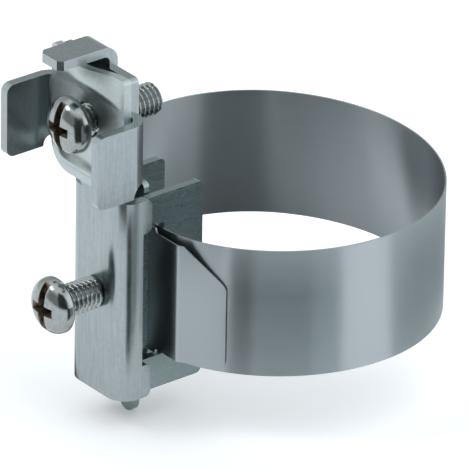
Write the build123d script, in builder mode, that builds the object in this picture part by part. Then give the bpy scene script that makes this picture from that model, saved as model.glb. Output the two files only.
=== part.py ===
from build123d import *
import os
from math import asin, cos, pi, radians, sin

# Earthing pipe clamp: a stamped body is strapped to a pipe and carries a conductor terminal.
# Sizes are in millimetres. The origin is on the pipe's axis, at half the band's height.
# +Z runs along the pipe and -Y is the front, where both screws are turned.
os.makedirs("parts", exist_ok=True)

# Clearances
seat_gap = 0.1
thread_gap = 0.05

# Band: one strip that starts at a fold in the far slot and ends in a free tail
band_height = 25.0
band_thickness = 0.3
loop_width = 66.0
loop_depth = 60.5
front_turn = 30.0
back_turn = 40.0
layer_step = 1.0
fold_length = 4.0
fold_radius = 0.6
tail_exit = 4.4
tail_turn = 30.0
tail_radius = 1.5
tail_length = 8.4
tail_height = 23.2
tail_chamfer_run = 6.6
tail_chamfer_drop = 7.2
tail_corner = 1.2

# Outer body channel
sheet = 1.8
body_width = 16.2
body_depth = 6.7
body_corner = 3.9
flange_corner = 1.2
web_to_axis = 40.2

# Inner yoke channel
yoke_sheet = 1.5
yoke_drop = 0.8
prong_reach = 19.5
prong_corner = 1.0

# Slots for the band
slot_height = 26.4
slot_rail = 6.5
slot_front = 4.8
slot_rear = 10.8

# Terminal plate with its arms
neck_width = 8.4
neck_length = 4.9
terminal_width = 28.2
arm_length = 10.2
arm_height = 14.1
arm_bend = 3.9
arm_corner = 1.6
arm_heel = 2.4
brow_height = 7.0
brow_corner = 1.0

# Retaining hook
hook_width = 6.0
hook_shift = 1.1
hook_reach = 11.0
hook_rise = 4.3
hook_bend = 3.0
hook_corner = 0.9

# Clamp plate
plate_sheet = 1.6
plate_side_gap = 1.8
plate_above = 10.8
plate_below = 12.6
plate_corner = 3.0
plate_hole_gap = 0.3
rib_depth = 4.3
rib_to_side = 0.7
rib_closing = 6.5
rib_half_height = 4.8
rib_narrowing = 2.0
rib_to_edge = 1.0
rib_drop = 2.4
plate_stations = 17
profile_points = 25
plate_blank_margin = 1.0

# Pressure plate
press_sheet = 1.2
press_side_gap = 0.3
press_height = 41.8
press_tongue = 5.4
press_tongue_width = 4.4
press_corner = 1.0

# Screws
thread_diameter = 6.0
thread_pitch = 1.0
head_diameter = 10.6
head_height = 3.4
head_crown = 1.0
head_rim = 1.0
tip_chamfer = 0.7
tension_length = 16.0
tension_stand_off = 8.5
terminal_length = 18.0
terminal_stand_off = 4.6
screw_above_terminal = 10.1
cross_width = 1.5
cross_length = 6.4
slot_width = 1.3
cross_depth = 1.9
slot_depth = 1.2

# Places that follow from the sizes
web_front = -web_to_axis
web_back = web_front + sheet
body_height = slot_height + 2 * slot_rail
yoke_height = body_height - yoke_drop
body_bottom = -body_height / 2
terminal_bottom = body_height / 2 + neck_length
terminal_top = terminal_bottom + arm_height
brow_top = terminal_top + brow_height
terminal_axis = terminal_bottom + screw_above_terminal
yoke_width = body_width - 2 * sheet
yoke_corner = body_corner - sheet
yoke_front = web_back
fixed_layer = web_front + slot_rear - 0.65 - band_thickness / 2
free_layer = fixed_layer - layer_step
press_front = web_front - tension_stand_off + tension_length + seat_gap
plate_width = terminal_width - 2 * (sheet + plate_side_gap)
rib_end = plate_width / 2 - rib_to_side
thread_core = thread_diameter / 2 - 0.31 * thread_pitch
threaded_hole = thread_core + thread_gap


def channel(width, depth, thickness, corner, front, height, base):
    """A U channel that stands along Z, with its web at the front and its flanges towards +Y."""
    with BuildSketch(Plane.XY.offset(base)) as hollow:
        with Locations((0, front + thickness)):
            Rectangle(width - 2 * thickness, depth, align=(Align.CENTER, Align.MIN))
        fillet(hollow.vertices().group_by(Axis.Y)[0], corner - thickness)
    with BuildPart() as folded:
        with BuildSketch(Plane.XY.offset(base)) as section:
            with Locations((0, front)):
                Rectangle(width, depth, align=(Align.CENTER, Align.MIN))
            fillet(section.vertices().group_by(Axis.Y)[0], corner)
            add(hollow.sketch, mode=Mode.SUBTRACT)
        extrude(amount=height)
    return folded.part


def slot_bar():
    """The bar along X that cuts the band's slots through both channels."""
    with BuildPart() as bar:
        with BuildSketch(Plane.YZ):
            with Locations((web_front + (slot_front + slot_rear) / 2, 0)):
                Rectangle(slot_rear - slot_front, slot_height)
        extrude(amount=body_width, both=True)
    return bar.part


def screw_hole(height, radius):
    """A round tool along Y at the given height."""
    with BuildPart() as tool:
        with BuildSketch(Plane.XZ.offset(-web_front - web_to_axis / 2)):
            with Locations((0, height)):
                Circle(radius)
        extrude(amount=web_to_axis)
    return tool.part


def screw(length, stand_off, height):
    """A pan head screw along Y, with a cross recess and a driving slot in its crowned head."""
    under_head = web_front - stand_off
    top = under_head - head_height
    radius = head_diameter / 2
    crown_radius = (radius**2 + head_crown**2) / (2 * head_crown)
    half_angle = asin(radius / crown_radius) / 2
    crown_middle = (
        crown_radius * sin(half_angle),
        top + crown_radius * (1 - cos(half_angle)),
    )
    tip = under_head + length
    with BuildPart() as fastener:
        with BuildSketch(Plane.XY):
            with BuildLine():
                edge = Polyline(
                    (0, top),
                    (0, tip),
                    (thread_core - tip_chamfer, tip),
                    (thread_core, tip - tip_chamfer),
                    (thread_core, under_head),
                    (radius, under_head),
                    (radius, top + head_crown),
                )
                ThreePointArc(edge @ 1, crown_middle, edge @ 0)
            make_face()
        revolve(axis=Axis.Y)
        rim_edges = fastener.edges().filter_by(lambda edge: edge.length > 2 * pi * (radius - head_crown))
        crown_rim = rim_edges.sort_by(Axis.Y)[0]
        fillet(crown_rim, head_rim)
        with BuildSketch(Plane.XZ.offset(-top)):
            Rectangle(cross_length, cross_width)
            Rectangle(cross_width, cross_length)
        extrude(amount=-cross_depth, mode=Mode.SUBTRACT)
        with BuildSketch(Plane.XZ.offset(-top)):
            Rectangle(slot_width, head_diameter * 1.2)
        extrude(amount=-slot_depth, mode=Mode.SUBTRACT)
    return fastener.part.moved(Location((0, 0, height)))


def oval_radii(width, depth, turn):
    """The radii of two tangent arcs: the first turns by `turn` degrees and the second on to 90."""
    s = sin(radians(turn))
    c = cos(radians(turn))
    first = (width * c - depth * (1 - s)) / (s + c - 1)
    second = (depth * s - width * (1 - c)) / (s + c - 1)
    return first, second


def rib_height(x, z):
    """How far the clamp plate's upper rib stands forward at a point, with z from the screw's axis."""
    along = min(max((rib_end - x) / rib_closing, 0), 1)
    fade = 0.5 - 0.5 * cos(pi * along)
    middle = plate_above - rib_to_edge - rib_drop * (1 - along)
    half = rib_half_height - rib_narrowing * (1 - along)
    across = min(abs(z - middle) / half, 1)
    return rib_depth * fade * (0.5 + 0.5 * cos(pi * across))


def plate_profile(x):
    """The clamp plate's section at x: a back line with both ribs, and the same line a sheet forward."""
    lowest = -plate_below - plate_blank_margin
    highest = plate_above + plate_blank_margin
    back = []
    for i in range(profile_points):
        z = lowest + (highest - lowest) * i / (profile_points - 1)
        forward = rib_height(x, z) + rib_height(-x, -z)
        back.append((web_front - seat_gap - forward, terminal_axis + z))
    front = [(y - plate_sheet, z) for y, z in back]
    with BuildSketch(Plane.YZ.offset(x)) as section:
        with BuildLine():
            Spline(*back)
            Line(back[-1], front[-1])
            Spline(*front)
            Line(front[0], back[0])
        make_face()
    return section.sketch


def folded_arms():
    """Both arms of the terminal plate with their bends, and the part of the plate between them."""
    with BuildSketch(Plane.XY.offset(terminal_bottom)) as hollow:
        with Locations((0, web_front)):
            Rectangle(terminal_width - 2 * sheet, 2 * arm_length, align=(Align.CENTER, Align.MAX))
        fillet(hollow.vertices().group_by(Axis.Y)[-1], arm_bend - sheet)
    with BuildSketch(Plane.YZ) as heel:
        heel_start = (web_back - arm_bend, terminal_bottom)
        heel_end = (web_back - arm_bend + arm_heel, terminal_bottom + arm_heel)
        with BuildLine():
            RadiusArc(heel_start, heel_end, arm_heel)
            Polyline(
                heel_end,
                (web_back + sheet, heel_end[1]),
                (web_back + sheet, terminal_bottom - sheet),
                (heel_start[0], terminal_bottom - sheet),
                heel_start,
            )
        make_face()
    with BuildPart() as arms:
        with BuildSketch(Plane.XY.offset(terminal_bottom)) as section:
            with Locations((0, web_back)):
                Rectangle(terminal_width, arm_length + sheet, align=(Align.CENTER, Align.MAX))
            fillet(section.vertices().group_by(Axis.Y)[-1], arm_bend)
            add(hollow.sketch, mode=Mode.SUBTRACT)
        extrude(amount=arm_height)
        fillet(arms.edges().filter_by(Axis.X).group_by(Axis.Y)[0], arm_corner)
        extrude(heel.sketch, amount=terminal_width, both=True, mode=Mode.SUBTRACT)
    return arms.part


body_channel = channel(
    body_width, body_depth, sheet, body_corner, web_front, body_height, body_bottom
)
yoke_channel = channel(
    yoke_width, prong_reach - sheet, yoke_sheet, yoke_corner, yoke_front, yoke_height, body_bottom
)
band_slots = slot_bar()
body_arms = folded_arms()
tension_hole = screw_hole(0, threaded_hole)
terminal_hole = screw_hole(terminal_axis, threaded_hole)
plate_hole = screw_hole(terminal_axis, thread_diameter / 2 + plate_hole_gap)
tension_shape = screw(tension_length, tension_stand_off, 0)
terminal_shape = screw(terminal_length, terminal_stand_off, terminal_axis)
blank_width = plate_width + 2 * plate_blank_margin
plate_sections = [
    plate_profile(blank_width * (i / (plate_stations - 1) - 0.5)) for i in range(plate_stations)
]

# Outer body, stamped and folded from one sheet
with BuildPart() as clamp_body:
    add(body_channel)
    add(band_slots, mode=Mode.SUBTRACT)
    fillet(clamp_body.edges().filter_by(Axis.X).group_by(Axis.Y)[-1], flange_corner)
    # Neck and terminal plate, flat in the web's plane
    with BuildSketch(Plane.XZ.offset(-web_front)) as flat:
        with Locations((0, terminal_bottom)):
            Rectangle(neck_width, 2 * neck_length)
        with Locations((0, terminal_bottom + arm_heel)):
            Rectangle(
                terminal_width - 2 * arm_bend,
                arm_height - arm_heel + brow_height,
                align=(Align.CENTER, Align.MIN),
            )
        fillet(flat.vertices().group_by(Axis.Z)[-1], brow_corner)
    extrude(amount=-sheet)
    # Hook: a tongue of the plate that turns forwards over the clamp plate
    with BuildSketch(Plane.YZ.offset(hook_shift - hook_width / 2)) as tongue:
        with BuildLine():
            hook_line = FilletPolyline(
                (web_front, brow_top - hook_bend),
                (web_front, brow_top + hook_rise - sheet),
                (web_front - hook_reach, brow_top + hook_rise - sheet),
                radius=hook_bend - sheet,
            )
            outer_line = FilletPolyline(
                (web_front - hook_reach, brow_top + hook_rise),
                (web_back, brow_top + hook_rise),
                (web_back, brow_top - hook_bend),
                radius=hook_bend,
            )
            Line(hook_line @ 1, outer_line @ 0)
            Line(outer_line @ 1, hook_line @ 0)
        make_face()
    extrude(amount=hook_width)
    hook_ends = clamp_body.edges().filter_by(Axis.Z).group_by(Axis.Y)[0]
    chamfer(hook_ends, hook_corner)
    add(body_arms)
    add(terminal_hole, mode=Mode.SUBTRACT)
    add(tension_hole, mode=Mode.SUBTRACT)

# Yoke: the inner channel, whose prongs bear on the pipe
with BuildPart() as yoke:
    add(yoke_channel)
    add(band_slots, mode=Mode.SUBTRACT)
    fillet(yoke.edges().filter_by(Axis.X).group_by(Axis.Y)[-1], prong_corner)
    add(tension_hole, mode=Mode.SUBTRACT)

# Band: its path in plan, the strip swept along it, then the narrower tail
half_yoke = yoke_width / 2
fold_x = -half_yoke - 2 * seat_gap - band_thickness / 2
front_radius, side_radius = oval_radii(
    loop_width / 2 - half_yoke, -fixed_layer, front_turn
)
back_radius, rear_side_radius = oval_radii(
    loop_width / 2, loop_depth + fixed_layer, back_turn
)
left_radius, left_side_radius = oval_radii(
    loop_width / 2 - half_yoke, -free_layer, front_turn
)

with BuildPart() as band:
    with BuildLine() as centre:
        fold_top = (fold_x, fixed_layer + fold_radius + fold_length)
        fold = Line(fold_top, (fold_x, fixed_layer + fold_radius))
        turn_in = JernArc(fold @ 1, fold % 1, fold_radius, 90)
        crossing = Line(turn_in @ 1, (half_yoke, fixed_layer))
        front_right = JernArc(crossing @ 1, crossing % 1, front_radius, front_turn)
        side_right = JernArc(front_right @ 1, front_right % 1, side_radius, 90 - front_turn)
        rear_right = JernArc(side_right @ 1, side_right % 1, rear_side_radius, 90 - back_turn)
        rear = JernArc(rear_right @ 1, rear_right % 1, back_radius, 2 * back_turn)
        rear_left = JernArc(rear @ 1, rear % 1, rear_side_radius, 90 - back_turn)
        side_left = JernArc(rear_left @ 1, rear_left % 1, left_side_radius, 90 - front_turn)
        front_left = JernArc(side_left @ 1, side_left % 1, left_radius, front_turn)
        Line(front_left @ 1, (half_yoke, free_layer))
    with BuildSketch(Plane(origin=centre.line @ 0, x_dir=(1, 0, 0), z_dir=centre.line % 0)):
        Rectangle(band_thickness, band_height)
    sweep()
    with BuildLine() as tail_path:
        tail_run = Line((half_yoke, free_layer), (half_yoke + tail_exit, free_layer))
        JernArc(tail_run @ 1, tail_run % 1, tail_radius, tail_turn)
    with BuildSketch(Plane.YZ.offset(half_yoke)) as tail_start:
        with Locations((free_layer, 0)):
            Rectangle(band_thickness, tail_height)
    sweep(tail_start.sketch, path=tail_path.line)
    tail_direction = tail_path.line % 1
    tail_plane = Plane(
        origin=tail_path.line @ 1,
        x_dir=tail_direction,
        z_dir=(tail_direction.Y, -tail_direction.X, 0),
    )
    with BuildSketch(tail_plane) as tail_end:
        Rectangle(tail_length, tail_height, align=(Align.MIN, Align.CENTER))
        outer_corners = tail_end.vertices().group_by(Axis.X)[-1].sort_by(Axis.Y)
        fillet(outer_corners[0], tail_corner)
        upper_corner = tail_end.vertices().group_by(Axis.X)[-1].sort_by(Axis.Y)[-1]
        chamfer(upper_corner, tail_chamfer_run, tail_chamfer_drop)
    extrude(tail_end.sketch, amount=band_thickness / 2, both=True)

# Pressure plate between the tension screw's tip and the band
with BuildPart() as pressure_plate:
    with BuildSketch(Plane.XZ.offset(-press_front)):
        RectangleRounded(yoke_width - 2 * yoke_sheet - 2 * press_side_gap, press_height, press_corner)
        SlotOverall(press_height + 2 * press_tongue, press_tongue_width, rotation=90)
    extrude(amount=-press_sheet)

# Clamp plate with its two pressed ribs
with BuildPart() as clamp_plate:
    loft(plate_sections)
    with BuildSketch(Plane.XZ.offset(-web_back)) as outline:
        with Locations((0, terminal_axis + (plate_above - plate_below) / 2)):
            RectangleRounded(plate_width, plate_above + plate_below, plate_corner)
    extrude(amount=arm_length, mode=Mode.INTERSECT)
    add(plate_hole, mode=Mode.SUBTRACT)

with BuildPart() as tension_screw:
    add(tension_shape)

with BuildPart() as terminal_screw:
    add(terminal_shape)

clamp_body.part.label = "clamp_body"
yoke.part.label = "yoke"
band.part.label = "band"
pressure_plate.part.label = "pressure_plate"
clamp_plate.part.label = "clamp_plate"
tension_screw.part.label = "tension_screw"
terminal_screw.part.label = "terminal_screw"

export_step(clamp_body.part, "parts/clamp_body.step")
export_step(yoke.part, "parts/yoke.step")
export_step(band.part, "parts/band.step")
export_step(pressure_plate.part, "parts/pressure_plate.step")
export_step(clamp_plate.part, "parts/clamp_plate.step")
export_step(tension_screw.part, "parts/tension_screw.step")
export_step(terminal_screw.part, "parts/terminal_screw.step")
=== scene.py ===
"""Dresses an earthing pipe clamp, made of stamped sheet steel, and sets it in a pale light tent."""

import logging
import math
from collections.abc import Callable
from dataclasses import dataclass, field
from enum import Enum

import bmesh
import bpy
from mathutils import Matrix, Vector

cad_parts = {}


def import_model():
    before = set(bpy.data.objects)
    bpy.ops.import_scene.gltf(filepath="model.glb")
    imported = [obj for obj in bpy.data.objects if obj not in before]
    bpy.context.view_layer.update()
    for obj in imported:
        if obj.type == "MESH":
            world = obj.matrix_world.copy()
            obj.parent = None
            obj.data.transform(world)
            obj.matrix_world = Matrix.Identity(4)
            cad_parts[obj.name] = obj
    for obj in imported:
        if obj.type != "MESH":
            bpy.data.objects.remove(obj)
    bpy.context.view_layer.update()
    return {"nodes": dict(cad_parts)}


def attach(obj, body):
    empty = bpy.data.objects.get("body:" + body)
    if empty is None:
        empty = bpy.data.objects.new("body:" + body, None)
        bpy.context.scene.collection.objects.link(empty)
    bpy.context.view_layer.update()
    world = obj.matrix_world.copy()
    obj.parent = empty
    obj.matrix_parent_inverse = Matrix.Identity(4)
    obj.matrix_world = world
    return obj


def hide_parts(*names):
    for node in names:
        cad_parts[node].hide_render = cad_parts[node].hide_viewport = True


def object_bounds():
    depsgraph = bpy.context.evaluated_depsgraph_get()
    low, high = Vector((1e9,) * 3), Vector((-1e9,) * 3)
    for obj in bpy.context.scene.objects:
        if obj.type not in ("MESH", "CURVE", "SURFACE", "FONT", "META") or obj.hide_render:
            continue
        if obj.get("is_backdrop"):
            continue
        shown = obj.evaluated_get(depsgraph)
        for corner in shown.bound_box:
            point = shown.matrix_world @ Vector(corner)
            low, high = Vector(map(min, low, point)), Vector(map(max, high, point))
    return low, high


LOG = logging.getLogger("pipe_clamp")
MM = 0.001
WELD_DISTANCE = 1e-7
ROUNDING_SEGMENTS = 2
TERMINAL_HEIGHT = 34.7
BLACK = (0.0, 0.0, 0.0, 1.0)
WHITE = (1.0, 1.0, 1.0, 1.0)

Tree = bpy.types.NodeTree
Node = bpy.types.Node
Socket = bpy.types.NodeSocket
Pair = tuple[float, float]
Point = tuple[float, float, float]
Colour = tuple[float, float, float, float]
Line = tuple[Pair, ...]
Skin = tuple[list[Point], list[tuple[int, ...]]]


class Grain(Enum):
    """How a metal surface was worked, as the number of its marks to the metre along X, Y and Z."""

    TUMBLED = (1300.0, 1300.0, 1300.0)
    DRAWN = (2600.0, 2600.0, 160.0)
    ROLLED = (60.0, 60.0, 3000.0)
    TURNED = (1500.0, 5200.0, 1500.0)


@dataclass(frozen=True)
class MetalFinish:
    """One metal finish: its colours, its gloss and the marks of its making.

    Sizes and depths of marks are in millimetres, and the runs of scratches are a turn in degrees with the
    number of lines to the metre along X, Y and Z.
    """

    name: str
    light: Point
    dark: Point
    roughness: float
    roughness_spread: float
    grain: Grain
    grain_depth: float
    mottle_size: float
    scratch_depth: float
    stretch: float = 0.0
    upright_turn: float = 0.25
    grain_detail: float = 3.0
    mottle_detail: float = 5.0
    grain_share: float = 0.6
    tone_band: Pair = (0.35, 0.65)
    gloss_band: Pair = (0.3, 0.7)
    scratch_runs: tuple[tuple[float, Point], ...] = (
        (24.0, (40.0, 900.0, 900.0)),
        (-52.0, (700.0, 30.0, 700.0)),
    )
    scratch_detail: float = 1.0
    scratch_half_width: float = 0.015

    def material(self) -> bpy.types.Material:
        """Builds the finish as a node material.

        Returns:
            The material, with colour, roughness and bump worked out in the part's own frame.
        """
        made = bpy.data.materials.new(self.name)
        made.use_nodes = True
        tree = made.node_tree
        shader = tree.nodes["Principled BSDF"]
        shader.inputs["Metallic"].default_value = 1.0
        if self.stretch:
            shader.inputs["Anisotropic"].default_value = self.stretch
            shader.inputs["Anisotropic Rotation"].default_value = self.upright_turn
            tangent = tree.nodes.new("ShaderNodeTangent")
            tangent.direction_type = "RADIAL"
            tangent.axis = "Z"
            tree.links.new(tangent.outputs["Tangent"], shader.inputs["Tangent"])
        place = tree.nodes.new("ShaderNodeTexCoord")
        marks = self._stretched_noise(tree, place, self.grain.value, self.grain_detail)
        blotches_to_the_metre = 1.0 / (self.mottle_size * MM)
        blotches = self._stretched_noise(tree, place, (blotches_to_the_metre,) * 3, self.mottle_detail)
        scratches = self._scratches(tree, place)
        tone = tree.nodes.new("ShaderNodeMixRGB")
        tone.inputs["Color1"].default_value = (*self.dark, 1.0)
        tone.inputs["Color2"].default_value = (*self.light, 1.0)
        mixed = self._blend(tree, blotches, marks, self.grain_share)
        spread = self._range(tree, mixed, self.tone_band, (0.0, 1.0))
        tree.links.new(spread, tone.inputs["Fac"])
        tree.links.new(tone.outputs["Color"], shader.inputs["Base Color"])
        smoothest = self.roughness - self.roughness_spread
        roughest = self.roughness + self.roughness_spread
        gloss = self._range(tree, mixed, self.gloss_band, (smoothest, roughest))
        tree.links.new(gloss, shader.inputs["Roughness"])
        worked = self._bump(tree, marks, self.grain_depth, None)
        scored = self._bump(tree, scratches, self.scratch_depth, worked)
        tree.links.new(scored, shader.inputs["Normal"])
        return made

    def _stretched_noise(
        self, tree: Tree, place: Node, stretch: Point, detail: float, turn: float = 0.0
    ) -> Socket:
        """Adds noise stretched along the axes.

        Args:
            tree: the material's node tree.
            place: the texture coordinate node.
            stretch: how many marks there are to the metre along X, Y and Z.
            detail: the noise's octaves.
            turn: a turn about Z and X before stretching, in degrees.

        Returns:
            The socket with the noise's value.
        """
        mapping = tree.nodes.new("ShaderNodeMapping")
        mapping.inputs["Scale"].default_value = stretch
        mapping.inputs["Rotation"].default_value = (math.radians(turn), 0.0, math.radians(turn))
        noise = tree.nodes.new("ShaderNodeTexNoise")
        noise.inputs["Scale"].default_value = 1.0
        noise.inputs["Detail"].default_value = detail
        tree.links.new(place.outputs["Object"], mapping.inputs["Vector"])
        tree.links.new(mapping.outputs["Vector"], noise.inputs["Vector"])
        return noise.outputs["Fac"]

    def _scratches(self, tree: Tree, place: Node) -> Socket:
        """Adds sparse hair lines in two directions.

        Args:
            tree: the material's node tree.
            place: the texture coordinate node.

        Returns:
            The socket with the depth of the lines, from 0 to 1.
        """
        middle = 0.5
        lines = []
        for turn, stretch in self.scratch_runs:
            noise = self._stretched_noise(tree, place, stretch, self.scratch_detail, turn)
            ramp = tree.nodes.new("ShaderNodeValToRGB")
            elements = ramp.color_ramp.elements
            elements[0].position = middle - self.scratch_half_width
            elements[0].color = BLACK
            elements[1].position = middle + self.scratch_half_width
            elements[1].color = BLACK
            line = elements.new(middle)
            line.color = WHITE
            tree.links.new(noise, ramp.inputs["Fac"])
            lines.append(ramp.outputs["Color"])
        return self._blend(tree, lines[0], lines[1], 0.5)

    def _blend(self, tree: Tree, first: Socket, second: Socket, share: float) -> Socket:
        """Mixes two values.

        Args:
            tree: the material's node tree.
            first: the first value.
            second: the second value.
            share: the second value's share, from 0 to 1.

        Returns:
            The socket with the mixed value.
        """
        mix = tree.nodes.new("ShaderNodeMixRGB")
        mix.inputs["Fac"].default_value = share
        tree.links.new(first, mix.inputs["Color1"])
        tree.links.new(second, mix.inputs["Color2"])
        return mix.outputs["Color"]

    def _range(self, tree: Tree, value: Socket, source: Pair, target: Pair) -> Socket:
        """Maps a value from one range to another.

        Args:
            tree: the material's node tree.
            value: the value to map.
            source: the range that it comes from.
            target: the range that it goes to.

        Returns:
            The socket with the mapped value.
        """
        node = tree.nodes.new("ShaderNodeMapRange")
        node.inputs["From Min"].default_value = source[0]
        node.inputs["From Max"].default_value = source[1]
        node.inputs["To Min"].default_value = target[0]
        node.inputs["To Max"].default_value = target[1]
        tree.links.new(value, node.inputs["Value"])
        return node.outputs["Result"]

    def _bump(self, tree: Tree, height: Socket, depth: float, below: Socket | None) -> Socket:
        """Turns a height into a bumped normal.

        Args:
            tree: the material's node tree.
            height: the height, from 0 to 1.
            depth: how deep the marks are, in millimetres.
            below: a bumped normal to add to, or None.

        Returns:
            The socket with the normal.
        """
        bump = tree.nodes.new("ShaderNodeBump")
        bump.inputs["Strength"].default_value = 1.0
        bump.inputs["Distance"].default_value = depth * MM
        tree.links.new(height, bump.inputs["Height"])
        if below is not None:
            tree.links.new(below, bump.inputs["Normal"])
        return bump.outputs["Normal"]


SATIN = MetalFinish(
    name="satin_nickel",
    light=(0.36, 0.4, 0.41),
    dark=(0.29, 0.33, 0.34),
    roughness=0.22,
    roughness_spread=0.04,
    grain=Grain.DRAWN,
    grain_depth=0.0016,
    mottle_size=0.9,
    scratch_depth=0.003,
)
PRESSED = MetalFinish(
    name="pressed_nickel",
    light=(0.5, 0.55, 0.55),
    dark=(0.42, 0.47, 0.47),
    roughness=0.42,
    roughness_spread=0.05,
    grain=Grain.TUMBLED,
    grain_depth=0.0015,
    mottle_size=0.9,
    scratch_depth=0.003,
)
DARK_SATIN = MetalFinish(
    name="dull_steel",
    light=(0.27, 0.33, 0.335),
    dark=(0.24, 0.295, 0.3),
    roughness=0.28,
    roughness_spread=0.03,
    grain=Grain.ROLLED,
    grain_depth=0.0008,
    mottle_size=1.2,
    scratch_depth=0.003,
)
STRIP = MetalFinish(
    name="bright_strip",
    light=(0.385, 0.425, 0.445),
    dark=(0.37, 0.41, 0.43),
    roughness=0.34,
    roughness_spread=0.02,
    grain=Grain.ROLLED,
    grain_depth=0.00012,
    mottle_size=9.0,
    scratch_depth=0.0006,
    stretch=0.9,
)
POLISHED = MetalFinish(
    name="polished_screw",
    light=(0.36, 0.385, 0.385),
    dark=(0.27, 0.29, 0.29),
    roughness=0.17,
    roughness_spread=0.04,
    grain=Grain.TURNED,
    grain_depth=0.001,
    mottle_size=1.5,
    scratch_depth=0.003,
)
RECESS = MetalFinish(
    name="recess_oxide",
    light=(0.3, 0.25, 0.19),
    dark=(0.1, 0.08, 0.06),
    roughness=0.42,
    roughness_spread=0.1,
    grain=Grain.TUMBLED,
    grain_depth=0.01,
    mottle_size=0.8,
    scratch_depth=0.004,
)


def mesh_object(name: str, points: list[Point], faces: list[tuple[int, ...]]) -> bpy.types.Object:
    """Makes a mesh object with outward normals and links it to the scene.

    Args:
        name: the object's name.
        points: the vertices in metres, in the part's frame.
        faces: the vertex numbers of each face.

    Returns:
        The object.
    """
    mesh = bpy.data.meshes.new(name)
    mesh.from_pydata(points, [], faces)
    shaped = bmesh.new()
    shaped.from_mesh(mesh)
    bmesh.ops.remove_doubles(shaped, verts=shaped.verts, dist=WELD_DISTANCE)
    bmesh.ops.recalc_face_normals(shaped, faces=shaped.faces)
    shaped.to_mesh(mesh)
    shaped.free()
    made = bpy.data.objects.new(name, mesh)
    bpy.context.scene.collection.objects.link(made)
    return made


def prism_faces(sides: int) -> list[tuple[int, ...]]:
    """The faces of a closed prism whose second end is numbered after its first.

    Args:
        sides: how many corners each end has.

    Returns:
        The vertex numbers of both ends and of every side.
    """
    faces = [tuple(range(sides)), tuple(range(sides, 2 * sides))]
    for i in range(sides):
        j = (i + 1) % sides
        faces.append((i, j, sides + j, sides + i))
    return faces


def smooth_by_angle(piece: bpy.types.Object, degrees: float) -> None:
    """Shades a mesh smooth, with its sharper edges kept crisp.

    Args:
        piece: the mesh object.
        degrees: edges that turn by more than this stay sharp.
    """
    piece.data.shade_smooth()
    piece.data.set_sharp_from_angle(angle=math.radians(degrees))


def break_edges(piece: bpy.types.Object, radius: float, angle: float) -> None:
    """Rounds the cut edges of a piece a little.

    Args:
        piece: the mesh object.
        radius: how wide the rounding is, in millimetres.
        angle: edges that turn by more than this are rounded, in degrees.
    """
    bevel = piece.modifiers.new("edge_break", "BEVEL")
    bevel.width = radius * MM
    bevel.segments = ROUNDING_SEGMENTS
    bevel.limit_method = "ANGLE"
    bevel.angle_limit = math.radians(angle)


def cut_away(piece: bpy.types.Object, cutter: bpy.types.Object) -> None:
    """Cuts one shape out of a piece and removes the cutter.

    Args:
        piece: the piece, whose mesh is changed.
        cutter: the shape to cut out.
    """
    cut = piece.modifiers.new("cut", "BOOLEAN")
    cut.operation = "DIFFERENCE"
    cut.solver = "EXACT"
    cut.material_mode = "TRANSFER"
    cut.object = cutter
    bpy.context.view_layer.update()
    shaped = piece.evaluated_get(bpy.context.evaluated_depsgraph_get())
    result = bpy.data.meshes.new_from_object(shaped)
    piece.modifiers.clear()
    old = piece.data
    piece.data = result
    result.name = piece.name
    bpy.data.meshes.remove(old)
    bpy.data.objects.remove(cutter)


def stand_for(piece: bpy.types.Object, node: str, body: str) -> None:
    """Lets a piece take the place of a solid.

    Args:
        piece: the mesh object.
        node: the solid that it stands for.
        body: the moving body that carries it.
    """
    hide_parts(node)
    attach(piece, body)
    LOG.info("%s: %d faces, stands for %s", piece.name, len(piece.data.polygons), node)


@dataclass
class SheetPart:
    """A stamped or drawn piece whose solid is right, and whose cut edges are softened."""

    node: str
    finish: MetalFinish
    edge_radius: float = 0.12
    edge_angle: float = 32.0

    def dress(self, nodes: dict[str, bpy.types.Object]) -> None:
        """Gives the piece its finish and rounds its cut edges a little.

        Args:
            nodes: the carried-over solids by name.
        """
        piece = nodes[self.node]
        piece.data.materials.clear()
        piece.data.materials.append(self.finish.material())
        break_edges(piece, self.edge_radius, self.edge_angle)
        LOG.info("%s: dressed in %s", self.node, self.finish.name)


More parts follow.
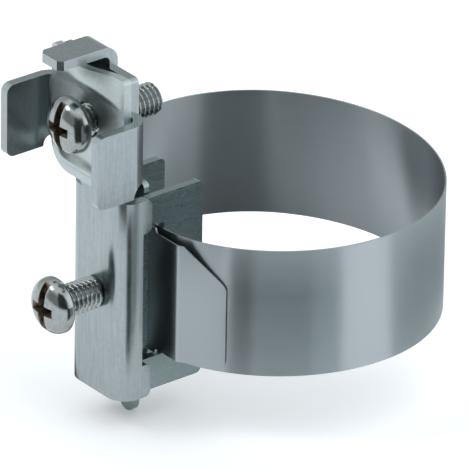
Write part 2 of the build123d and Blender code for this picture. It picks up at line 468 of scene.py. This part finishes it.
@dataclass
class ClampPlate:
    """The plate under the terminal screw's head, with a pressed bulge above and a rib below.

    Heights are taken from the screw's axis, in millimetres.
    """

    width: float = 21.0
    sheet: float = 1.6
    back: float = -40.3
    axis_height: float = TERMINAL_HEIGHT
    above: float = 11.2
    below: float = 12.8
    upper_corner: float = 0.8
    lower_corner: float = 5.0
    bulge_foot: float = 5.1
    bulge_depth: float = 2.75
    bulge_crest: float = 9.1
    bulge_arch: float = 0.04
    bulge_end: float = 9.7
    bulge_narrowing: float = 1.5
    bulge_fall: float = 0.2
    rib_middle: float = -9.8
    rib_half: float = 1.7
    rib_depth: float = 1.2
    rib_end: float = 8.8
    rib_squareness: int = 4
    hole_radius: float = 3.3
    hole_sides: int = 64
    rows: int = 96
    columns: int = 72
    row_crowding: float = 0.55
    smooth_angle: float = 35.0
    edge_radius: float = 0.15
    edge_angle: float = 50.0
    finish: MetalFinish = field(default=PRESSED)

    def build(self) -> bpy.types.Object:
        """Builds the pressed plate and lets it stand for its solid.

        Returns:
            The plate's mesh object.
        """
        plate = mesh_object("pressed_plate", *self._pressed())
        cut_away(plate, self._hole())
        smooth_by_angle(plate, self.smooth_angle)
        plate.data.materials.clear()
        plate.data.materials.append(self.finish.material())
        break_edges(plate, self.edge_radius, self.edge_angle)
        stand_for(plate, "clamp_plate", "clamp_plate")
        return plate

    def _forward(self, x: float, z: float) -> float:
        """How far the sheet is pressed forward.

        Args:
            x: the distance from the plate's middle.
            z: the height over the screw's axis.

        Returns:
            The distance in millimetres.
        """
        upper = 0.0
        across = abs(x) / self.bulge_end
        if across < 1.0 and z > self.bulge_foot:
            crest = self.bulge_crest - self.bulge_arch * x * x
            rise = (z - self.bulge_foot) / (crest - self.bulge_foot)
            ease = 0.5 - 0.5 * math.cos(math.pi * min(rise, 1.0))
            past = max(z - crest, 0.0) / (self.above - self.bulge_crest)
            narrowed = math.cos(across * math.pi / 2) ** self.bulge_narrowing
            upper = narrowed * (ease - self.bulge_fall * past**2)
        lower = 0.0
        off = abs(z - self.rib_middle) / self.rib_half
        along = abs(x) / self.rib_end
        if off < 1.0 and along < 1.0:
            lower = (0.5 + 0.5 * math.cos(math.pi * off)) * (1.0 - along**self.rib_squareness)
        return self.bulge_depth * max(upper, 0.0) + self.rib_depth * lower

    def _half_width(self, z: float) -> float:
        """Half the plate's width at a height, with its corners rounded.

        Args:
            z: the height over the screw's axis.

        Returns:
            The distance in millimetres.
        """
        half = self.width / 2
        for corner, left in ((self.upper_corner, self.above - z), (self.lower_corner, self.below + z)):
            if left < corner:
                rest = corner - left
                half -= corner - math.sqrt(max(corner**2 - rest**2, 0.0))
        return half

    def _heights(self) -> list[float]:
        """The rows' heights over the screw's axis, closer together at the rounded corners.

        Returns:
            The heights from the lowest row to the highest, in millimetres.
        """
        middle = (self.above - self.below) / 2
        reach = (self.above + self.below) / 2
        heights = []
        for i in range(self.rows + 1):
            share = 2.0 * i / self.rows - 1.0
            eased = self.row_crowding * math.sin(share * math.pi / 2) + (1.0 - self.row_crowding) * share
            heights.append(middle + reach * eased)
        return heights

    def _pressed(self) -> Skin:
        """The pressed sheet as one closed skin.

        Returns:
            The vertices in metres and the faces.
        """
        points = []
        for side in (0.0, self.sheet):
            for z in self._heights():
                half = self._half_width(z)
                for i in range(self.columns + 1):
                    x = half * (2.0 * i / self.columns - 1.0)
                    y = self.back - side - self._forward(x, z)
                    points.append((x * MM, y * MM, (self.axis_height + z) * MM))
        across = self.columns + 1
        layer = across * (self.rows + 1)
        faces = []
        for row in range(self.rows):
            for column in range(self.columns):
                a = row * across + column
                quad = (a, a + 1, a + across + 1, a + across)
                faces.append(quad)
                faces.append(tuple(layer + corner for corner in quad))
        rim = list(range(across))
        rim += [row * across + self.columns for row in range(1, self.rows + 1)]
        rim += [self.rows * across + column for column in range(self.columns - 1, -1, -1)]
        rim += [row * across for row in range(self.rows - 1, 0, -1)]
        for first, second in zip(rim, rim[1:] + rim[:1]):
            faces.append((first, second, layer + second, layer + first))
        return points, faces

    def _hole(self) -> bpy.types.Object:
        """The round cutter for the screw's clearance hole, longer than the sheet is thick.

        Returns:
            The cutter's mesh object.
        """
        behind = 1.0
        sides = self.hole_sides
        points = []
        for along in (self.back + behind, self.back - 2.0 * self.sheet):
            for i in range(sides):
                turn = 2 * math.pi * i / sides
                x = self.hole_radius * math.cos(turn)
                z = self.axis_height + self.hole_radius * math.sin(turn)
                points.append((x * MM, along * MM, z * MM))
        return mesh_object("hole_cutter", points, prism_faces(sides))


@dataclass
class Station:
    """One upright line of the strap: its place in plan, its heading in degrees and its two ends."""

    x: float
    y: float
    heading: float
    low: float
    high: float


@dataclass
class Strap:
    """The thin band: a fold at the far slot, the loop, and the free tail with its cut corner.

    The strap is laid out as stations along its route, in millimetres and degrees.
    """

    thickness: float = 0.3
    height: float = 25.0
    half_yoke: float = 6.3
    fixed_layer: float = -30.2
    free_layer: float = -31.2
    loop_width: float = 66.0
    loop_depth: float = 60.5
    front_turn: float = 30.0
    back_turn: float = 40.0
    fold_gap: float = 0.2
    fold_radius: float = 0.6
    fold_length: float = 4.0
    tail_height: float = 23.2
    tail_taper: float = 0.4
    tail_exit: float = 6.0
    tail_turn: float = 35.4
    tail_radius: float = 1.5
    tail_bend_step: float = 5.0
    tail_length: float = 8.5
    tail_cut_run: float = 8.0
    tail_cut_drop: float = 6.9
    tail_cut_steps: int = 6
    tail_corner: float = 1.3
    tail_corner_steps: int = 8
    tail_corner_share: float = 0.6
    step: float = 1.5
    fewest_steps: int = 3
    smooth_angle: float = 30.0
    edge_radius: float = 0.06
    edge_angle: float = 50.0
    stations: list[Station] = field(default_factory=list)
    finish: MetalFinish = field(default=STRIP)

    def build(self) -> bpy.types.Object:
        """Builds the whole strap as one strip and lets it stand for its solid.

        Returns:
            The strap's mesh object.
        """
        self._route()
        strap = mesh_object("strap", *self._strip())
        smooth_by_angle(strap, self.smooth_angle)
        strap.data.materials.append(self.finish.material())
        break_edges(strap, self.edge_radius, self.edge_angle)
        stand_for(strap, "band", "clamp")
        return strap

    def _route(self) -> None:
        """Lays out every station from the fold to the tail's end."""
        fold_x = -self.half_yoke - self.fold_gap - self.thickness / 2
        fold_y = self.fixed_layer + self.fold_radius + self.fold_length
        half_height = self.height / 2
        self.stations = [Station(fold_x, fold_y, heading=-90.0, low=-half_height, high=half_height)]
        reach = self.loop_width / 2
        front, side = self._oval_radii(reach - self.half_yoke, -self.fixed_layer, self.front_turn)
        back, rear = self._oval_radii(reach, self.loop_depth + self.fixed_layer, self.back_turn)
        near, left = self._oval_radii(reach - self.half_yoke, -self.free_layer, self.front_turn)
        quarter = 90.0
        self._straight(self.fold_length)
        self._bend(self.fold_radius, quarter)
        self._straight(self.half_yoke - self.stations[-1].x)
        self._bend(front, self.front_turn)
        self._bend(side, quarter - self.front_turn)
        self._bend(rear, quarter - self.back_turn)
        self._bend(back, 2.0 * self.back_turn)
        self._bend(rear, quarter - self.back_turn)
        self._bend(left, quarter - self.front_turn)
        self._bend(near, self.front_turn)
        self._straight(self.half_yoke - self.stations[-1].x)
        self._tail()

    def _tail(self) -> None:
        """Adds the narrower tail, its bend, its cut upper corner and the rounding at its end."""
        half = self.tail_height / 2
        self._straight(self.tail_taper, low=-half, high=half)
        self._straight(self.tail_exit - self.tail_taper)
        self._bend(self.tail_radius, self.tail_turn, step=self.tail_bend_step)
        start = self.tail_length - self.tail_cut_run
        self._straight(start)
        corner = self.tail_corner
        plain_end = self.tail_length - corner
        marks = []
        for i in range(1, self.tail_cut_steps + 1):
            marks.append(start + (plain_end - start) * i / self.tail_cut_steps)
        for i in range(1, self.tail_corner_steps + 1):
            marks.append(plain_end + corner * math.sin(math.pi / 2 * i / self.tail_corner_steps))
        done = start
        for mark in marks:
            rest = max(mark - plain_end, 0.0)
            rounded = corner - math.sqrt(max(corner**2 - rest**2, 0.0))
            cut = self.tail_cut_drop * (mark - start) / self.tail_cut_run
            high = half - cut - self.tail_corner_share * rounded
            self._straight(mark - done, low=rounded - half, high=high)
            done = mark

    def _oval_radii(self, width: float, depth: float, turn: float) -> Pair:
        """The radii of two tangent arcs that make a quarter of the oval.

        Args:
            width: the quarter's reach along X.
            depth: its reach along Y.
            turn: how far the first arc turns, in degrees.

        Returns:
            The first and the second radius, in millimetres.
        """
        s = math.sin(math.radians(turn))
        c = math.cos(math.radians(turn))
        first = (width * c - depth * (1 - s)) / (s + c - 1)
        second = (depth * s - width * (1 - c)) / (s + c - 1)
        return first, second

    def _straight(self, length: float, low: float | None = None, high: float | None = None) -> None:
        """Runs the strap straight on.

        Args:
            length: how far, in millimetres.
            low: the lower edge's new height, or None to keep it.
            high: the upper edge's new height, or None to keep it.
        """
        last = self.stations[-1]
        turn = math.radians(last.heading)
        x = last.x + length * math.cos(turn)
        y = last.y + length * math.sin(turn)
        new_low = last.low if low is None else low
        new_high = last.high if high is None else high
        self.stations.append(Station(x, y, last.heading, new_low, new_high))

    def _bend(self, radius: float, turn: float, step: float | None = None) -> None:
        """Bends the strap to the left along an arc.

        Args:
            radius: the arc's radius, in millimetres.
            turn: how far it turns, in degrees.
            step: the turn from one station to the next, or None for the usual one.
        """
        count = max(int(turn / (step or self.step)), self.fewest_steps)
        last = self.stations[-1]
        start = math.radians(last.heading)
        centre_x = last.x - radius * math.sin(start)
        centre_y = last.y + radius * math.cos(start)
        for i in range(1, count + 1):
            heading = last.heading + turn * i / count
            angle = math.radians(heading)
            x = centre_x + radius * math.sin(angle)
            y = centre_y - radius * math.cos(angle)
            self.stations.append(Station(x, y, heading, last.low, last.high))

    def _strip(self) -> Skin:
        """The strip along the stations as one closed skin.

        Returns:
            The vertices in metres and the faces.
        """
        points = []
        half = self.thickness / 2
        for station in self.stations:
            turn = math.radians(station.heading)
            for side in (-half, half):
                x = station.x - side * math.sin(turn)
                y = station.y + side * math.cos(turn)
                for z in (station.low, station.high):
                    points.append((x * MM, y * MM, z * MM))
        faces = [(0, 1, 3, 2)]
        for i in range(len(self.stations) - 1):
            a = 4 * i
            b = a + 4
            faces.append((a, a + 1, b + 1, b))
            faces.append((a + 2, a + 3, b + 3, b + 2))
            faces.append((a + 1, a + 3, b + 3, b + 1))
            faces.append((a, a + 2, b + 2, b))
        end = 4 * (len(self.stations) - 1)
        faces.append((end, end + 1, end + 3, end + 2))
        return points, faces


@dataclass
class MachineScrew:
    """An M6 pan head screw with a real thread, a cross recess and a driving slot.

    It lies along Y with its head to the front, and its sizes are in millimetres.
    """

    node: str
    under_head: float
    length: float
    height: float
    head_height: float
    thread_radius: float = 3.0
    core_radius: float = 2.42
    pitch: float = 1.0
    ridge_foot: float = 0.86
    ridge_flank: float = 0.72
    head_radius: float = 5.3
    dome_power: float = 2.35
    dome_steps: int = 26
    rim: float = 0.45
    rim_steps: int = 4
    neck: float = 0.5
    neck_over_core: float = 0.25
    tip_under_core: float = 0.3
    tip_rise: float = 0.9
    tip_taper: float = 0.8
    slot_width: float = 1.6
    slot_depth: float = 1.7
    slot_reach: float = 6.89
    cross_reach: float = 3.1
    cross_width: float = 1.9
    cross_depth: float = 3.0
    cross_taper: float = 0.5
    cutter_lead: float = 0.3
    recess_to_rim: float = 0.3
    recess_rounding: float = 0.13
    recess_profile: float = 0.5
    smooth_angle: float = 38.0
    around: int = 96
    rows_per_pitch: int = 16
    finish: MetalFinish = field(default=POLISHED)
    recess_finish: MetalFinish = field(default=RECESS)

    def build(self) -> bpy.types.Object:
        """Builds the whole screw and lets it stand for its solid.

        Returns:
            The screw's mesh object.
        """
        screw = mesh_object(f"{self.node}_threaded", *self._skin())
        screw.data.materials.append(self.finish.material())
        recess = self.recess_finish.material()
        for cutter in (self._cross_cutter(), self._slot_cutter()):
            cutter.data.materials.append(recess)
            cut_away(screw, cutter)
        self._round_recess(screw)
        smooth_by_angle(screw, self.smooth_angle)
        stand_for(screw, self.node, self.node)
        return screw

    def _round_recess(self, screw: bpy.types.Object) -> None:
        """Rounds the rims of the recess and the slot, where the light catches them.

        Args:
            screw: the screw, whose mesh is changed.
        """
        shaped = bmesh.new()
        shaped.from_mesh(screw.data)
        limit = (self.under_head - self.rim - self.recess_to_rim) * MM
        rims = []
        for edge in shaped.edges:
            faces = edge.link_faces
            if len(faces) == 2 and faces[0].material_index != faces[1].material_index:
                if max(vertex.co.y for vertex in edge.verts) < limit:
                    rims.append(edge)
        bmesh.ops.bevel(
            shaped,
            geom=rims,
            offset=self.recess_rounding * MM,
            segments=ROUNDING_SEGMENTS,
            profile=self.recess_profile,
            affect="EDGES",
            clamp_overlap=True,
        )
        shaped.to_mesh(screw.data)
        shaped.free()

    def _head_profile(self) -> list[Pair]:
        """The domed head's half section, from its middle to the neck.

        Returns:
            Points of radius and distance along the screw, in millimetres.
        """
        top = self.under_head - self.head_height
        dome = self.head_height - self.rim
        power = 2.0 / self.dome_power
        points = []
        for i in range(self.dome_steps + 1):
            turn = math.pi / 2 * i / self.dome_steps
            radius = self.head_radius * math.sin(turn) ** power
            drop = dome * (1.0 - max(math.cos(turn), 0.0) ** power)
            points.append((radius, top + drop))
        for i in range(1, self.rim_steps + 1):
            turn = math.pi / 2 * i / self.rim_steps
            radius = self.head_radius - self.rim * (1 - math.cos(turn))
            points.append((radius, self.under_head - self.rim * (1 - math.sin(turn))))
        return points

    def _thread_radius(self, along: float, turn: float) -> float:
        """The thread's radius at a place on the shank.

        Args:
            along: the distance from under the head.
            turn: the angle round the screw, as a share of a turn.

        Returns:
            The radius in millimetres.
        """
        phase = (along / self.pitch - turn) % 1.0
        flank = abs(phase - 0.5) * 2.0
        ridge = min(max((self.ridge_foot - flank) / self.ridge_flank, 0.0), 1.0)
        fade_in = min(max((along - self.neck) / self.pitch, 0.0), 1.0)
        full = self.core_radius + (self.thread_radius - self.core_radius) * ridge
        neck_radius = self.core_radius + self.neck_over_core
        shaped = neck_radius + (full - neck_radius) * fade_in
        left = self.length - along
        limit = self.core_radius - self.tip_under_core + left / self.tip_taper * self.tip_rise
        return min(shaped, limit)

    def _skin(self) -> Skin:
        """The head and the threaded shank as one skin.

        Returns:
            The vertices in metres and the faces.
        """
        head = self._head_profile()
        rows = int(self.length / self.pitch * self.rows_per_pitch)
        points = []
        for radius, along in head:
            points.extend(self._ring(lambda turn, r=radius: r, along))
        for i in range(rows + 1):
            along = self.length * i / rows
            reach = self.under_head + along
            points.extend(self._ring(lambda turn, a=along: self._thread_radius(a, turn), reach))
        points.append((0.0, (self.under_head + self.length) * MM, self.height * MM))
        ring_count = len(head) + rows + 1
        faces = []
        for ring in range(ring_count - 1):
            for i in range(self.around):
                j = (i + 1) % self.around
                a = ring * self.around
                faces.append((a + i, a + j, a + self.around + j, a + self.around + i))
        last = (ring_count - 1) * self.around
        for i in range(self.around):
            faces.append((last + i, last + (i + 1) % self.around, len(points) - 1))
        return points, faces

    def _ring(self, radius_at: Callable[[float], float], along: float) -> list[Point]:
        """One ring of vertices round the screw.

        Args:
            radius_at: gives the radius for a share of a turn.
            along: the ring's place along Y, in millimetres.

        Returns:
            The ring's vertices in metres.
        """
        ring = []
        for i in range(self.around):
            turn = i / self.around
            angle = 2 * math.pi * turn
            radius = radius_at(turn)
            x = radius * math.cos(angle)
            z = self.height - radius * math.sin(angle)
            ring.append((x * MM, along * MM, z * MM))
        return ring

    def _prism(self, name: str, outline: list[Pair], depth: float, taper: float) -> bpy.types.Object:
        """A cutter along Y that starts before the head, smaller at its far end.

        Args:
            name: the cutter's name.
            outline: corners as distances from the screw's axis along X and Z.
            depth: how deep it goes into the head, in millimetres.
            taper: the far end's share of the outline.

        Returns:
            The cutter's mesh object.
        """
        start = self.under_head - self.head_height - self.cutter_lead
        end = start + (depth + self.cutter_lead)
        points = []
        for along, share in ((start, 1.0), (end, taper)):
            for across, up in outline:
                x = across * share
                z = self.height + up * share
                points.append((x * MM, along * MM, z * MM))
        return mesh_object(name, points, prism_faces(len(outline)))

    def _cross_cutter(self) -> bpy.types.Object:
        """The tapered cross that is pressed into the head.

        Returns:
            The cutter's mesh object.
        """
        r = self.cross_reach
        w = self.cross_width / 2
        outline = [
            (w, w), (w, r), (-w, r), (-w, w), (-r, w), (-r, -w),
            (-w, -w), (-w, -r), (w, -r), (w, -w), (r, -w), (r, w),
        ]
        return self._prism("cross_cutter", outline, self.cross_depth, self.cross_taper)

    def _slot_cutter(self) -> bpy.types.Object:
        """The driving slot across the whole head.

        Returns:
            The cutter's mesh object.
        """
        w = self.slot_width / 2
        r = self.slot_reach
        outline = [(w, r), (-w, r), (-w, -r), (w, -r)]
        return self._prism("slot_cutter", outline, self.slot_depth, 1.0)


def arc_line(radius: float, first: float, step: float, count: int) -> Line:
    """A line in plan that runs round the loop's axis.

    Args:
        radius: its distance from the axis, in millimetres.
        first: the first point's angle from the camera's side, in degrees.
        step: the angle from one point to the next, in degrees.
        count: how many points it has.

    Returns:
        Points to the right of the picture and towards the camera.
    """
    turns = [math.radians(first + step * i) for i in range(count)]
    return tuple((radius * math.sin(turn), radius * math.cos(turn)) for turn in turns)


@dataclass(frozen=True)
class StandingCard:
    """A grey card on edge, along a line in plan, on the floor unless it has a height of its own."""

    name: str
    shade: float
    line: Line
    top: float = 3.0
    foot: float | None = None

    def edges(self, floor: float) -> list[Point]:
        """The points of its lower and then of its upper edge.

        Args:
            floor: the floor's height, in millimetres.

        Returns:
            Points to the right of the picture, towards the camera and up.
        """
        foot = floor if self.foot is None else self.foot
        return [(right, near, up) for up in (foot, self.top) for right, near in self.line]


@dataclass(frozen=True)
class LyingCard:
    """A grey card flat on the floor, between a far and a near edge in plan."""

    name: str
    shade: float
    far: Line
    near: Line
    lift: float = 0.1

    def edges(self, floor: float) -> list[Point]:
        """The points of its far and then of its near edge.

        Args:
            floor: the floor's height, in millimetres.

        Returns:
            Points to the right of the picture, towards the camera and up.
        """
        return [(right, near, floor + self.lift) for right, near in (*self.far, *self.near)]


# the upright cards show in the strap and the left arm, the lying ones low in the walls and the yoke
CARDS = (
    StandingCard("pale_front_card", 0.8, line=((30.0, 48.0), (16.0, 51.0))),
    StandingCard("front_card", 0.58, line=((16.0, 51.0), (4.0, 54.0), (-9.5, 56.0))),
    # painted shadow: the darkest front card is seen only in the strap, where its reflection darkens the
    # strip beside the tail that the tail's shadow falls on
    StandingCard("tail_shadow_card", 0.1, line=((-9.5, 56.0), (-22.5, 58.5))),
    LyingCard("inner_card", 0.06, far=((-8.0, -29.0), (25.0, -16.0)), near=((-8.0, 16.0), (25.0, 14.0))),
    StandingCard("side_card", 0.68, line=((52.0, 30.0), (52.0, -10.0), (40.0, -36.0))),
    StandingCard("skirt_card", 0.12, line=arc_line(radius=32.0, first=-12.0, step=8.0, count=10), top=-12.7),
    LyingCard("left_card", 0.12, far=((-46.0, -12.0), (-26.0, -12.0)), near=((-46.0, 18.0), (-26.0, 18.0))),
    LyingCard("rear_card", 0.1, far=((-45.0, -60.0), (-8.0, -60.0)), near=((-45.0, -33.0), (-8.0, -33.0))),
    StandingCard("hanging_card", 0.08, line=((-50.0, 56.0), (-24.0, 56.0)), top=42.0, foot=2.0),
)


@dataclass
class Studio:
    """The pale floor, the light tent with its dark gap at the camera, and the camera.

    The tent's walls are given as azimuths in degrees with their levels.
    """

    azimuth: float = 51.36
    elevation: float = 27.09
    roll: float = -0.946
    distance: float = 1492.5
    pixels_per_mm: float = 5.575
    frame_pixels: float = 470.0
    sensor: float = 36.0
    shift_right: float = 25.01
    shift_up: float = 27.98
    web_front: float = -40.2
    body_bottom: float = -19.7
    floor_size: float = 6.0
    tent_walls: Line = (
        (-180.0, 0.7),
        (-150.0, 1.1),
        (-126.0, 1.2),
        (-116.0, 0.4),
        (-70.0, 0.4),
        (-60.0, 0.08),
        (-6.0, 0.08),
        (4.0, 0.8),
        (12.0, 1.7),
        (48.0, 1.7),
        (60.0, 1.0),
        (105.0, 0.9),
        (140.0, 0.55),
        (180.0, 0.7),
    )
    tent_roof: float = 1.25
    tent_tint: Point = (0.95, 0.99, 1.0)
    roof_slope: Pair = (0.55, 0.85)
    brightest: float = 2.0
    floor_lift: float = 0.2
    floor_gap: float = 0.05
    floor_colour: Colour = (0.93, 0.94, 0.97, 1.0)
    floor_roughness: float = 0.9
    floor_gloss: float = 0.1
    card_red: float = 0.92
    key_place: Point = (-0.5, -0.9, 1.1)
    key_size: float = 0.35
    key_watts: float = 3.0
    farthest: float = 20.0

    def build(self) -> None:
        """Builds the cards, the floor, the tent, a small lamp and the camera."""
        self._cards()
        self._floor()
        self._tent()
        self._lamp("key", self.key_place, self.key_size, self.key_watts)
        self._camera()

    def _floor(self) -> None:
        """A wide pale floor at the clamp's lowest point."""
        half = self.floor_size / 2
        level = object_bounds()[0][2] - self.floor_gap * MM
        points = [(-half, -half, level), (half, -half, level), (half, half, level), (-half, half, level)]
        floor = mesh_object("floor", points, [(0, 1, 2, 3)])
        pale = bpy.data.materials.new("pale_floor")
        pale.use_nodes = True
        shader = pale.node_tree.nodes["Principled BSDF"]
        shader.inputs["Base Color"].default_value = self.floor_colour
        shader.inputs["Roughness"].default_value = self.floor_roughness
        shader.inputs["Specular IOR Level"].default_value = self.floor_gloss
        self._lift(pale.node_tree)
        floor.data.materials.append(pale)
        floor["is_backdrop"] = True

    def _lift(self, tree: Tree) -> None:
        """Lifts the floor to white where it is seen, with the shadow kept, and adds no light.

        Args:
            tree: the floor material's node tree.
        """
        rays = tree.nodes.new("ShaderNodeLightPath")
        seen = rays.outputs["Is Camera Ray"]
        for ray in ("Is Glossy Ray", "Is Transmission Ray"):
            either = tree.nodes.new("ShaderNodeMath")
            either.operation = "MAXIMUM"
            tree.links.new(seen, either.inputs[0])
            tree.links.new(rays.outputs[ray], either.inputs[1])
            seen = either.outputs["Value"]
        amount = tree.nodes.new("ShaderNodeMath")
        amount.operation = "MULTIPLY"
        amount.inputs[1].default_value = self.floor_lift
        tree.links.new(seen, amount.inputs[0])
        white = tree.nodes.new("ShaderNodeEmission")
        tree.links.new(amount.outputs["Value"], white.inputs["Strength"])
        both = tree.nodes.new("ShaderNodeAddShader")
        tree.links.new(tree.nodes["Principled BSDF"].outputs["BSDF"], both.inputs[0])
        tree.links.new(white.outputs["Emission"], both.inputs[1])
        tree.links.new(both.outputs["Shader"], tree.nodes["Material Output"].inputs["Surface"])

    def _card(self, name: str, shade: float, edges: list[Point]) -> None:
        """A grey card that only reflections see, as a photographer sets beside bright metal.

        Args:
            name: the card's name.
            shade: how light its grey is, from 0 to 1.
            edges: its two long edges in millimetres, to the right, towards the camera and up.
        """
        azimuth = math.radians(self.azimuth)
        points = []
        for right, near, up in edges:
            x = right * math.cos(azimuth) + near * math.sin(azimuth)
            y = right * math.sin(azimuth) - near * math.cos(azimuth)
            points.append((x * MM, y * MM, up * MM))
        count = len(points) // 2
        faces = [(i, i + 1, count + i + 1, count + i) for i in range(count - 1)]
        card = mesh_object(name, points, faces)
        grey = bpy.data.materials.new(f"{name}_grey")
        grey.use_nodes = True
        shader = grey.node_tree.nodes["Principled BSDF"]
        shader.inputs["Base Color"].default_value = (self.card_red * shade, shade, shade, 1.0)
        shader.inputs["Roughness"].default_value = 1.0
        shader.inputs["Specular IOR Level"].default_value = 0.0
        card.data.materials.append(grey)
        card.visible_camera = False
        card.visible_diffuse = False
        card.visible_shadow = False
        card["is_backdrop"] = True

    def _cards(self) -> None:
        """Sets up every card: before the loop, beside it, under it and before the terminal."""
        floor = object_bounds()[0][2] / MM
        for card in CARDS:
            self._card(card.name, card.shade, card.edges(floor))

    def _tent(self) -> None:
        """A soft surround whose level changes round the clamp, with an even roof."""
        world = bpy.data.worlds.new("light_tent")
        bpy.context.scene.world = world
        world.use_nodes = True
        tree = world.node_tree
        soft = tree.nodes["Background"]
        soft.inputs["Strength"].default_value = self.brightest
        place = tree.nodes.new("ShaderNodeTexCoord")
        split = tree.nodes.new("ShaderNodeSeparateXYZ")
        tree.links.new(place.outputs["Generated"], split.inputs["Vector"])
        direction = tree.nodes.new("ShaderNodeMath")
        direction.operation = "ARCTAN2"
        tree.links.new(split.outputs["Y"], direction.inputs[0])
        tree.links.new(split.outputs["X"], direction.inputs[1])
        share = tree.nodes.new("ShaderNodeMapRange")
        share.inputs["From Min"].default_value = -math.pi
        share.inputs["From Max"].default_value = math.pi
        tree.links.new(direction.outputs["Value"], share.inputs["Value"])
        walls = tree.nodes.new("ShaderNodeValToRGB")
        elements = walls.color_ramp.elements
        elements.remove(elements[1])
        for i, (angle, level) in enumerate(self.tent_walls):
            position = (angle + 180.0) / 360.0
            element = elements[0] if i == 0 else elements.new(position)
            element.position = position
            element.color = self._tent_colour(level)
        tree.links.new(share.outputs["Result"], walls.inputs["Fac"])
        rising = tree.nodes.new("ShaderNodeMapRange")
        rising.interpolation_type = "SMOOTHSTEP"
        rising.inputs["From Min"].default_value = self.roof_slope[0]
        rising.inputs["From Max"].default_value = self.roof_slope[1]
        tree.links.new(split.outputs["Z"], rising.inputs["Value"])
        mix = tree.nodes.new("ShaderNodeMixRGB")
        mix.inputs["Color2"].default_value = self._tent_colour(self.tent_roof)
        tree.links.new(rising.outputs["Result"], mix.inputs["Fac"])
        tree.links.new(walls.outputs["Color"], mix.inputs["Color1"])
        tree.links.new(mix.outputs["Color"], soft.inputs["Color"])

    def _tent_colour(self, level: float) -> Colour:
        """The slightly cool colour of a part of the tent.

        Args:
            level: how bright that part is.

        Returns:
            The colour, as a share of the brightest level.
        """
        share = level / self.brightest
        red, green, blue = self.tent_tint
        return (red * share, green * share, blue * share, 1.0)

    def _lamp(self, name: str, place: Point, size: float, watts: float) -> None:
        """A square soft box that faces the clamp.

        Args:
            name: the lamp's name.
            place: where it stands, in metres.
            size: its side, in metres.
            watts: its power.
        """
        light = bpy.data.lights.new(name, "AREA")
        light.size = size
        light.energy = watts
        lamp = bpy.data.objects.new(name, light)
        lamp.location = place
        lamp.rotation_euler = (-Vector(place)).to_track_quat("-Z", "Y").to_euler()
        bpy.context.scene.collection.objects.link(lamp)

    def _camera(self) -> None:
        """The camera, placed and turned as the photograph was taken."""
        azimuth = math.radians(self.azimuth)
        elevation = math.radians(self.elevation)
        roll = math.radians(self.roll)
        right = Vector((math.cos(azimuth), math.sin(azimuth), 0.0))
        flat = math.cos(elevation)
        ahead = Vector((-math.sin(azimuth) * flat, math.cos(azimuth) * flat, -math.sin(elevation)))
        up = right.cross(ahead)
        place = self.shift_right * right + self.shift_up * up - self.distance * ahead
        place += Vector((0.0, self.web_front, self.body_bottom))
        level = math.cos(roll) * right - math.sin(roll) * up
        upright = math.sin(roll) * right + math.cos(roll) * up
        turned = Matrix((level, upright, -ahead)).transposed().to_4x4()
        data = bpy.data.cameras.new("camera")
        data.sensor_fit = "HORIZONTAL"
        data.sensor_width = self.sensor
        data.lens = self.pixels_per_mm * self.distance / self.frame_pixels * self.sensor
        data.clip_end = self.farthest
        camera = bpy.data.objects.new("camera", data)
        camera.matrix_world = Matrix.Translation(place * MM) @ turned
        bpy.context.scene.collection.objects.link(camera)
        bpy.context.scene.camera = camera


def main() -> None:
    """Builds every piece in order and reports it."""
    logging.basicConfig(level=logging.INFO, format="%(name)s %(message)s")
    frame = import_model()
    bpy.context.scene.view_settings.view_transform = "Standard"
    sheet_parts = (
        SheetPart("clamp_body", SATIN),
        SheetPart("yoke", DARK_SATIN),
        SheetPart("pressure_plate", DARK_SATIN),
    )
    for part in sheet_parts:
        part.dress(frame["nodes"])
    ClampPlate().build()
    Strap().build()
    tension = MachineScrew("tension_screw", under_head=-48.2, length=15.5, height=0.0, head_height=3.9)
    terminal = MachineScrew(
        "terminal_screw", under_head=-44.8, length=18.0, height=TERMINAL_HEIGHT, head_height=4.0
    )
    for screw in (tension, terminal):
        screw.build()
    Studio().build()


if __name__ == "__main__":
    main()
